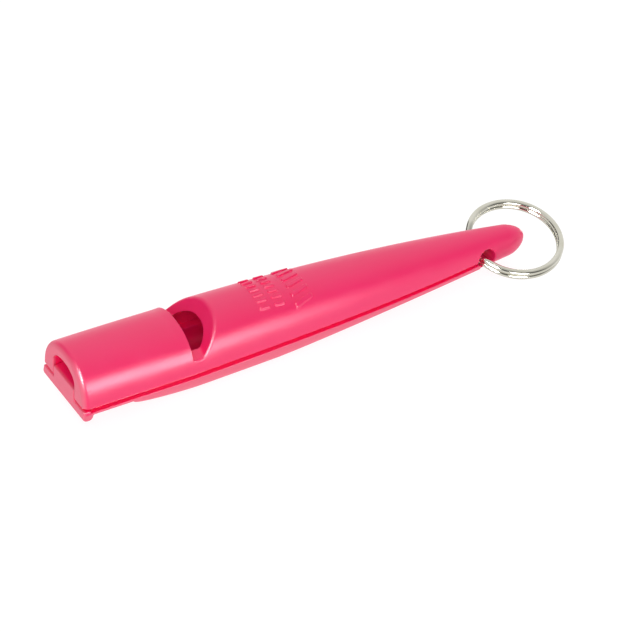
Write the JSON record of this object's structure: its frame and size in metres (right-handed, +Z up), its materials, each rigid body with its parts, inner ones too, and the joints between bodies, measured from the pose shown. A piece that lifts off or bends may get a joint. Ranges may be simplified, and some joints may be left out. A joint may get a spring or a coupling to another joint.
{
  "type": "training whistle",
  "caption": "Slim pealess training whistle with an arched mouthpiece, an open sound window, a tapered tail and a split ring that swings on the tail.",
  "frame": {"origin": "centre of the flat on the belly of the lower shell", "axes": "+X along the whistle from the mouthpiece to the tail, +Y to the player's left when it is blown, +Z up out of the sound window"},
  "size_m": [0.0879, 0.0156, 0.0113],
  "materials": {
    "pink_plastic": "satin moulded plastic, hot pink",
    "pink_plastic_lower": "satin moulded plastic, hot pink",
    "nickel_wire": "bright nickel-plated spring steel"
  },
  "bodies": {
    "whistle": {"upper_shell": "pink_plastic", "lower_shell": "pink_plastic_lower"},
    "ring": {"split_ring": "nickel_wire"}
  },
  "joints": [
    {"name": "ring_swing", "type": "hinge", "parent": "whistle", "child": "ring", "pos_m": [0.0448, 0, 0.0046], "axis": [0, 1, 0], "range_deg": [-150, 145]}
  ]
}
